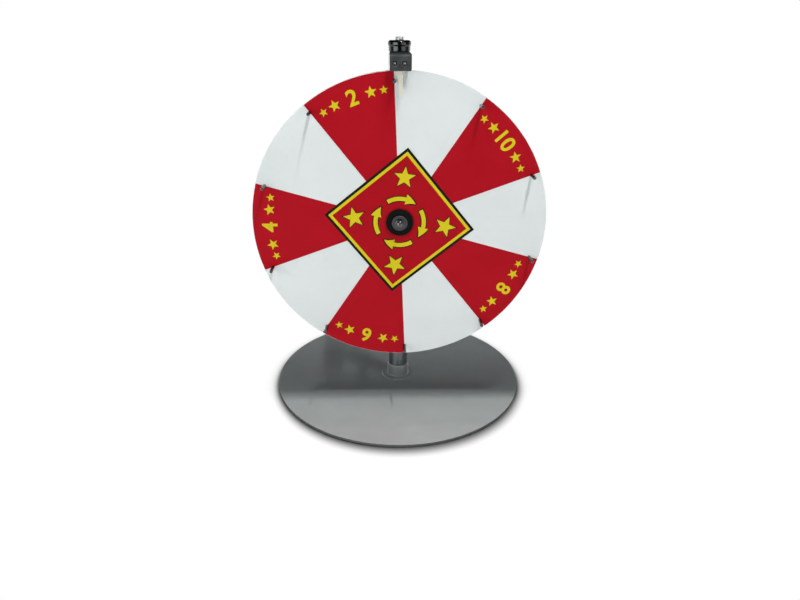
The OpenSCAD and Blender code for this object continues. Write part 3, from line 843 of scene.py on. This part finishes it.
def white_sheet():
    """Foamed plastic sheet: a cool white with a pressed grain of 0.8 mm, drawn at 2 mm so that it shows,
    pale clouds of handling dust 90 mm wide, and small grey rub marks."""
    finish, tree, _, clean, (dust, grain, rubs) = started(
        "white_foamed_plastic", "#d9e1e0", "#e9f0ef", (90, 6, 0.6), (2, 3, 0.5), (12, 8, 0.75))
    worn = add(tree, "MapRange", {"Value": rubs, "From Min": 0.6, "From Max": 0.75, "To Max": 0.25})
    shade = add(tree, "Mix", {"Factor": worn, "A": clean, "B": linear("#b9c0be")}, data_type="RGBA")
    return dressed(finish, shade, (dust, 0.38, 0.55), (grain, 0.05, 0.5),
                   {"IOR": 1.5, "Specular IOR Level": 0.12})


board_shape = ring(hub_hole_r, board_r, board.back, board.front, [0.3, 0.6, 0.6, 0.3],
                   axle_point, "front", columns=256)
piece("white_wheel_board", [board_shape], [white_sheet()], "wheel", "white_board", "wheel_board")


# Red sectors
# Five sectors of red self-adhesive film, cut on a plotter and laid by hand on every second field of the
# board. The film runs in under the centre label and stops just inside the rim.

film_box = mm_box("red_sectors")
film_margin = 0.6
film_r = board_r - film_margin
label_lap = 12.0
film_inner_r = label.half[0] / math.sqrt(2) - label_lap
sector_count = 10
sector_angle = 2 * np.pi / sector_count
wheel_turn = math.radians(2.4)
red_starts = np.pi / 2 + wheel_turn + np.arange(0, sector_count, 2) * sector_angle


def film(name, dark, light):
    """Calendered vinyl film: a strong even colour with a fine pebble of 0.6 mm, drawn at 1.5 mm, a low
    satin gloss that wanders over 40 mm, and hairline scratches of drawn-out noise that dull it a little."""
    hair = ((0, 0.9, 0), (1, 1, 0.03))
    finish, tree, _, shade, (drift, pebble, scratch) = started(
        name, dark, light, (40, 5, 0.5), (1.5, 2, 0.5), (1.2, 2, 0.5, hair))
    dull = add(tree, "MapRange", {"Value": scratch, "From Min": 0.62, "From Max": 0.72, "To Max": 0.12})
    return dressed(finish, shade, (drift, 0.3, 0.42), (pebble, 0.04, 0.5),
                   {"IOR": 1.5, "Specular IOR Level": 0.06}, dull=dull)


def on_wheel(radius, angle, forward):
    """Points round the axle in mm: radius out at an angle from the right, and forward of the post."""
    right, above, forward = np.broadcast_arrays(radius * np.cos(angle), radius * np.sin(angle), forward)
    return placed(right, above, forward, axle_point, "front")


def sector(start):
    """A film sector: a flat rectangle of radius and depth, carried through the sector's angle."""
    angle = np.linspace(start, start + sector_angle, 49)[:, None]
    radius = np.array([film_inner_r, film_r, film_r, film_inner_r])
    forward = np.repeat([film_box.back, film_box.front], 2)
    return swept(on_wheel(radius, angle, forward))


# Red film: an even, strong red with a low satin sheen.
red_film = film("red_vinyl_film", "#a9101e", "#b41321")
piece("red_film_sectors", [sector(start) for start in red_starts], [red_film],
      "wheel", "red_film", "red_sectors")


# Sector numbers
# Plain even numbers, each between two pairs of stars, are cut from yellow film and stuck on the red
# sectors near the rim. They stand upright when their sector is at the top.

number_t = 0.1
number_r = 199.0
number_size = 32.0
number_bold = 0.022
# Distance from the number along the rim, and size, of the nearer and the farther stars.
star_steps = ((28, 9.0), (47, 6.5))


def along_rim(points, middle):
    """Flat points in mm laid along the rim: x runs clockwise on the circle of number_r, y runs outwards."""
    return on_wheel(number_r + points[:, 1], middle - points[:, 0] / number_r, film_box.front + points[:, 2])


def numeral(text, middle):
    """A number as a thin flat mesh: a text outline, made bold, filled and laid along the rim at an angle."""
    curve = bpy.data.curves.new("numeral", "FONT")
    curve.body = text
    curve.align_x = "CENTER"
    curve.align_y = "CENTER"
    curve.size = 1.0
    curve.extrude = number_t / 2 / number_size
    curve.offset = number_bold
    mesh = settled(linked("numeral", curve))
    points = np.zeros(len(mesh.vertices) * 3)
    mesh.vertices.foreach_get("co", points)
    faces = [list(face.vertices) for face in mesh.polygons]
    bpy.data.meshes.remove(mesh)
    points = points.reshape(-1, 3)
    points = (points - (points.min(0) + points.max(0)) / 2) * number_size + (0, 0, number_t / 2)
    return along_rim(points, middle), faces, 0


def star(outer, thick, tips=5):
    """A flat star as rows about its middle: the radius steps between outer and 0.42 of it at every other
    column, and the rows go from the middle of its back round its edge to the middle of its front."""
    columns = 2 * tips
    tip = np.where(np.arange(columns) % 2 == 0, outer, 0.42 * outer)
    radius = stacked(columns, 0, tip, tip, 0)
    height = stacked(columns, 0, 0, thick, thick)
    angle = np.pi / 2 + even_turn(columns)
    flat = np.stack([radius * np.cos(angle), radius * np.sin(angle), height], axis=-1)
    return flat.reshape(-1, 3), quads(4, columns, False)


# Yellow film: bright and flat, so the numbers stand out on the red.
yellow_film = film("yellow_vinyl_film", "#d2c21d", "#dccd2a")
number_shapes = []
for count, start in enumerate(red_starts, start=1):
    middle = start + sector_angle / 2
    number_shapes.append(numeral(str(2 * count), middle))
    for offset, size in star_steps:
        flat, faces = star(size, number_t)
        for side in (-1, 1):
            number_shapes.append((along_rim(flat + (side * offset, 0, 0), middle), faces, 0))
piece("yellow_sector_numbers", number_shapes, [yellow_film], "wheel", "label_film")


# Centre label
# A square of printed film around the hub: a red field inside a yellow line and a black edge, with a star in
# each corner and four arrows round the hub that show how the wheel spins.

label_half = 81.5
label_black = 4.0
label_yellow = 4.4
label_tilt = 5.9
label_turn = math.radians(45 - label_tilt)
print_t = 0.05


def square(half, columns):
    """Radius of a square at each column's angle: its half side over the larger of cosine and sine."""
    angle = even_turn(columns)
    return half / np.maximum(np.abs(np.cos(angle)), np.abs(np.sin(angle)))


def label_sheet(columns=96):
    """The label as nested rows about the axle, from the hub's hole out over each band of colour, round the
    edge and back; the last rows close it behind. Each row of faces has its own colour: red 0, yellow 1,
    black 2."""
    yellow_half = label_half - label_black
    halves = (yellow_half - label_yellow, yellow_half, label_half, label_half)
    radius = stacked(columns, hub_hole_r, *[square(half, columns) for half in halves], hub_hole_r)
    depth = stacked(columns, *[label.front] * 4, *[label.back] * 2)
    points = on_wheel(radius, label_turn + even_turn(columns), depth)
    return points.reshape(-1, 3), quads(6, columns, True), np.repeat([0, 1, 2, 2, 0, 0], columns)


def on_label(flat, middle_r, direction, lift):
    """Flat points on the label, moved middle_r out from the axle in a direction, with their top that way."""
    out = middle_r + flat[:, 1]
    right = np.sin(direction) * flat[:, 0] + np.cos(direction) * out
    above = np.sin(direction) * out - np.cos(direction) * flat[:, 0]
    return placed(right, above, label.front + lift + flat[:, 2], axle_point, "front")


arrow_r = 37.0
arrow_w = 6.5
arrow_lead = math.radians(36)
arrow_swing = math.radians(70)


def arrow(direction, grow, lift, paint):
    """A curved arrow: a band carried clockwise about the axle, whose last third widens at once to an arrow
    head and narrows to a point. grow adds an even border, for the outline under it."""
    head = 0.36
    share = np.concatenate([np.linspace(0, 1 - head, 17), np.linspace(1 - head, 1, 12)])
    half = np.concatenate([np.full(17, arrow_w / 2), 1.25 * arrow_w * np.linspace(1, 0.02, 12)]) + grow
    border = grow / arrow_r
    angle = direction + arrow_lead - (arrow_swing + 2 * border) * share[:, None] + border
    radius = arrow_r + np.stack([-half, half, half, -half], axis=1)
    return swept(on_wheel(radius, angle, label.front + lift + np.array([0, 0, print_t, print_t])), paint)


star_r = 70.0
star_size = 17.0
outline_w = 1.6
ornament = []
for direction in label_turn + np.pi / 4 + even_turn(4):
    for grow, lift, paint in ((outline_w, 0, 1), (0, print_t, 0)):
        flat, faces = star(star_size + 2 * grow, print_t)
        ornament.append((on_label(flat, star_r, direction, lift), faces, paint))
        ornament.append(arrow(direction, grow, lift, paint))
# Printed red: a shade deeper than the cut film. Printed black: a soft near-black with little gloss.
label_red = film("red_printed_film", "#a60f1c", "#b1121f")
label_ink = film("black_printed_film", "#151414", "#1e1d1c")
piece("printed_centre_label", [label_sheet()], [label_red, yellow_film, label_ink],
      "wheel", "label_film", "centre_label")
piece("label_stars_and_arrows", ornament, [yellow_film, label_ink], "wheel", "label_film")


# Pegs
# Ten plain steel pins, cut from drawn rod with a turned round tip, pressed into the board at each sector
# edge. A fine groove near the tip is left by the cutting tool.

pegs = mm_box("pegs")
peg_r = 2.5
peg_inset = 14.0
# The groove's start, floor and end.
nick_z = pegs.front - np.array([4.2, 3.9, 3.6])
nick_r = peg_r - 0.25
peg_outline = rounded([
    (0, pegs.back), (peg_r, pegs.back), (peg_r, nick_z[0]), (nick_r, nick_z[1]), (peg_r, nick_z[2]),
    (peg_r, pegs.front), (0, pegs.front),
], [1, 0.3, 0.1, 0.1, 0.1, 1.1, 1])
peg_shapes = [
    turned(peg_outline, (x, 0, axle_z + z), "front", columns=32)
    for x, z in ring_places(sector_count, board_r - peg_inset, wheel_turn)
]
# Drawn steel rod: a dark bright metal with crisp highlights.
drawn_steel = metal("drawn_steel_rod", "#4b4e50", "#626567", 0.5, (0.14, 0.26), AXLE)
piece("drawn_steel_pegs", peg_shapes, [drawn_steel], "wheel", "dark_steel", "pegs")


# Front washer and dome nut
# A large washer, stamped from sheet steel, covers the front bearing. A chromed dome nut, screwed on the
# end of the axle bolt, holds it and the bearings' inner rings.

# Plain stamped steel painted dark grey, a painted reflection of the dim room, with a dull shine.
dark_steel = metal("washer_steel_with_painted_dark", "#48494a", "#5a5b5c", 0.6, (0.34, 0.5), AXLE)
cover = mm_box("front_washer")
cover_shape = ring(axle_r + LOOSE_FIT, cover.half[0], cover.back, cover.front, [0.2, 0.15, 0.7, 0.2],
                   axle_point, "front")
piece("front_stamped_washer", [cover_shape], [dark_steel], "stand", "dark_steel", "front_washer")


def dome_nut(flats, hex_h, height, bore_r, bore_h, origin, columns=96):
    """A cap nut: a blind bore, a hexagon whose corners a cone cuts, and above it a neck and the quarter
    ellipse of its dome."""
    hexed, circle, fall = cone_cut(flats, 0.96, columns)
    neck = hex_h + 0.1
    turn = np.linspace(0, np.pi / 2, 15)
    dome_r = 0.9 * flats / 2 * np.cos(turn)
    dome_r[-1] = 0
    dome_z = neck + (height - neck) * np.sin(turn)
    radius = stacked(columns, 0, bore_r, bore_r, circle, hexed, hexed, circle, *dome_r)
    rise = stacked(columns, bore_h, bore_h, 0, 0, 0.3 * fall, hex_h - fall, hex_h, *dome_z)
    return revolved(radius, rise, origin, "front")


cap_nut = mm_box("dome_nut")
cap_nut_t = 2 * cap_nut.half[1]
dome_h = 4.5
dome_shape = dome_nut(2 * cap_nut.half[2], cap_nut_t - dome_h, cap_nut_t, axle_r + CLOSE_FIT,
                      cap_nut_t - dome_h / 2, (0, cap_nut.high[1], axle_z))
# The nut's chrome is painted dark as a painted reflection of the dim room, with a soft glint of the lamp.
nut_dark_painted_chrome = metal("nut_chrome_with_painted_dark", "#585a5c", "#686a6c", 0.8, (0.22, 0.32), AXLE)
piece("chromed_dome_nut", [dome_shape], [nut_dark_painted_chrome], "stand", "polished_chrome", "dome_nut")


# Flapper
# A tapered strip of uncoloured nylon, cut with a straight right edge, a slanted left edge and a round tip.
# It is gripped in the clamp and bends aside as each peg passes.

flap = mm_box("flapper")
flap_w = 2 * flap.half[0]
flap_edge = 0.3
tip_w = 2.8
tip_r = tip_w / 2
tip_z = flap.low[2] + tip_r
tip_turn = np.linspace(0, 0.985 * np.pi / 2, 10)[1:]
grip_z = arm.low[2]
flap_z = np.concatenate([
    np.linspace(flap.high[2], grip_z, 13)[:-1], np.linspace(grip_z, tip_z, 60),
    flap.low[2] + tip_r * (1 - np.sin(tip_turn)),
])[:, None]
taper = np.clip((grip_z - flap_z) / (grip_z - tip_z), 0, 1)
round_off = rounding(tip_r, tip_z - flap_z)
left = flap.low[0] + taper * (flap_w - tip_w) + round_off
right = flap.high[0] - round_off
across, through = strip_section(2 * flap.half[1], flap_edge)
flap_points = np.stack(np.broadcast_arrays(
    (left + right) / 2 + (right - left) / 2 * across, flap.middle[1] - through, flap_z), axis=-1)

# Natural nylon: a milky cream that lets some light through, with a soft mottled sheen.
natural_nylon = moulded("natural_nylon", "#d6d3c3", "#e8e5d8", 1.2, (0.34, 0.5), 0.06, {
    "IOR": 1.53, "Subsurface Weight": 0.25, "Subsurface Radius": (0.003, 0.0025, 0.002)})
flapper = piece("nylon_flapper", [swept(flap_points)], [natural_nylon], None, "natural_nylon", "flapper")
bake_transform(flapper)


# Studio
# A white room and floor that keeps the shadow near the object, a long narrow lamp overhead, soft fills at
# both sides in front and behind, two flags that only cast shadow, and the camera of the photograph.


def seen_by(tree, *rays):
    """1 where one of the kinds of ray looks, else 0: the largest of Light Path's outputs for them."""
    path = add(tree, "LightPath")
    share = path.outputs[f"Is {rays[0]} Ray"]
    for ray in rays[1:]:
        share = add(tree, "Math", {0: share, 1: path.outputs[f"Is {ray} Ray"]}, operation="MAXIMUM")
    return share


world = bpy.data.worlds.new("white_studio")
bpy.context.scene.world = world
world.use_nodes = True
sky = world.node_tree
sky.nodes.clear()
# The camera sees white all round, and shiny metal only low behind the wheel. The rest is a dim grey room.
backdrop_top = (0.2, 0.32)
backdrop_side = (0.1, 0.5)
room_strength = 0.08
heading = add(sky, "SeparateXYZ", {"Vector": add(sky, "TexCoord").outputs["Generated"]})
low_sky = add(sky, "MapRange", {"Value": heading.outputs["Z"], "From Min": backdrop_top[0],
                                "From Max": backdrop_top[1], "To Min": 1.0, "To Max": 0.0})
behind = add(sky, "MapRange", {"Value": heading.outputs["Y"], "From Min": backdrop_side[0],
                               "From Max": backdrop_side[1]})
backdrop = add(sky, "Math", {0: low_sky, 1: behind}, operation="MULTIPLY")
glossy_white = add(sky, "Math", {0: backdrop, 1: seen_by(sky, "Glossy")}, operation="MULTIPLY")
share = add(sky, "Math", {0: seen_by(sky, "Camera", "Transmission"), 1: glossy_white}, operation="MAXIMUM")
room = add(sky, "Background", {"Color": linear("#8d9192"), "Strength": room_strength})
white = add(sky, "Background", {"Color": (1, 1, 1, 1), "Strength": 1.0})
add(sky, "OutputWorld", {"Surface": add(sky, "MixShader", {0: share, 1: room, 2: white})})


def screen(name, corners):
    """A flat sheet of the studio between four corners in metres."""
    mesh = bpy.data.meshes.new(name)
    mesh.from_pydata(corners, [], [(0, 1, 2, 3)])
    made = linked(name, mesh)
    return made


floor_half = 6.0
floor = screen("studio_floor", [(-floor_half, -floor_half, 0), (floor_half, -floor_half, 0),
                                (floor_half, floor_half, 0), (-floor_half, floor_half, 0)])
# Seen directly, the floor glows white, and a painted contact shadow darkens that glow near the base: it is
# painted by how much nearby geometry hides each point and inside a circle a little in front of the base's
# middle, where it is darkest, and it fades to plain white some way from that middle. A faint real shadow of
# the lamps shows through its matt part. To all other rays it is a matt floor that throws most of the light
# back.
fade = (0.222, 0.26)
contact_reach = 0.05
contact_power = 4.0
halo_shift = (-0.003, 0.017, 0)
halo_edge = (0.2, 0.23)
halo_least = 0.3
matt_bounce = 0.8
matt_seen = 0.15
floor_paint = bpy.data.materials.new("white_floor")
floor.data.materials.append(floor_paint)
floor_paint.use_nodes = True
ground = floor_paint.node_tree
ground.nodes.clear()
seen = seen_by(ground, "Camera", "Glossy", "Transmission")
spot = add(ground, "TexCoord").outputs["Object"]
away = add(ground, "VectorMath", {0: spot}, operation="LENGTH")
far = add(ground, "MapRange", {"Value": away, "From Min": fade[0], "From Max": fade[1]},
          interpolation_type="SMOOTHSTEP")
far_seen = add(ground, "Math", {0: far, 1: seen}, operation="MULTIPLY")
contact = add(ground, "AmbientOcclusion", {"Distance": contact_reach}, samples=32)
depth = add(ground, "Math", {0: contact.outputs["AO"], 1: contact_power}, operation="POWER")
shifted = add(ground, "VectorMath", {0: spot, 1: halo_shift}, operation="ADD")
apart = add(ground, "VectorMath", {0: shifted}, operation="LENGTH")
halo = add(ground, "MapRange", {"Value": apart, "From Min": halo_edge[0], "From Max": halo_edge[1],
                                "To Min": halo_least}, interpolation_type="SMOOTHSTEP")
painted_contact_shadow = add(ground, "Math", {0: depth, 1: halo}, operation="MULTIPLY")
near_glow = add(ground, "Math", {0: seen, 1: painted_contact_shadow}, operation="MULTIPLY")
shown = add(ground, "MapRange", {"Value": seen, "To Min": matt_bounce, "To Max": matt_seen})
matt = add(ground, "BsdfDiffuse", {"Color": shown})
glow = add(ground, "Emission", {"Strength": near_glow})
lit = add(ground, "AddShader", {0: matt, 1: glow})
bright = add(ground, "Emission", {"Strength": 1.0})
add(ground, "OutputMaterial", {"Surface": add(ground, "MixShader", {0: far_seen, 1: lit, 2: bright})})


def lamp(name, place, target, width, height, power):
    """An area lamp at a place, turned to a target, that the camera doesn't see."""
    light = bpy.data.lights.new(name, "AREA")
    light.shape = "RECTANGLE"
    light.size = width
    light.size_y = height
    light.energy = power
    made = linked(name, light)
    made.location = place
    made.rotation_euler = (Vector(target) - Vector(place)).to_track_quat("-Z", "Y").to_euler()
    made.visible_camera = False


wheel_middle = (0, -0.1, axle_z * MM)
lamp("overhead_key", (0.62, -1.14, 3.2), (0.62, -0.1, 0.2), 0.07, 1.8, 74)
lamp("left_fill", (-1.5, -1.6, 0.7), wheel_middle, 1.8, 1.2, 21)
lamp("right_fill", (1.5, -1.6, 0.7), wheel_middle, 1.8, 1.2, 8)
lamp("rear_left_fill", (-1.5, 1.3, 0.25), wheel_middle, 0.8, 0.4, 5)
lamp("rear_right_fill", (1.5, 1.3, 0.25), wheel_middle, 0.8, 0.4, 4)

# The tall flag stands inside the board's thickness, and the low one where its shade begins on the base,
# which keeps the fills off the base behind it. Each has half its width, place along Y, foot and top.
flags = (
    ("wheel_flag", 0.45, board.middle[1] * MM, 0.062, 0.75),
    ("base_flag", 0.155, -0.060, 0.0075, 0.045),
)
for flag_name, wide, y, foot, top in flags:
    flag = screen(flag_name, [(-wide, y, foot), (wide, y, foot), (wide, y, top), (-wide, y, top)])
    flag.visible_camera = False
    flag.visible_diffuse = False
    flag.visible_glossy = False
    flag.visible_transmission = False

orbit_point = Vector((0, 0, 0.25))
orbit_r = 1.0948
pitch = math.radians(18.993)
yaw = math.radians(-0.92)
roll = math.radians(0.294)
camera_data = bpy.data.cameras.new("photo_camera")
camera_data.lens = 28.612
camera_data.sensor_width = 36.0
camera_data.shift_x = 0.0019
camera_data.shift_y = -0.0654
camera = linked("photo_camera", camera_data)
back = Vector((math.sin(yaw) * math.cos(pitch), -math.cos(yaw) * math.cos(pitch), math.sin(pitch)))
sideways = (-back).cross(Vector((0, 0, 1))).normalized()
upright = sideways.cross(-back)
camera_x = math.cos(roll) * sideways + math.sin(roll) * upright
camera_y = math.cos(roll) * upright - math.sin(roll) * sideways
turn = Matrix((camera_x, camera_y, back)).transposed().to_4x4()
camera.matrix_world = Matrix.Translation(orbit_point + orbit_r * back) @ turn
bpy.context.scene.camera = camera
bpy.context.scene.view_settings.view_transform = "Standard"
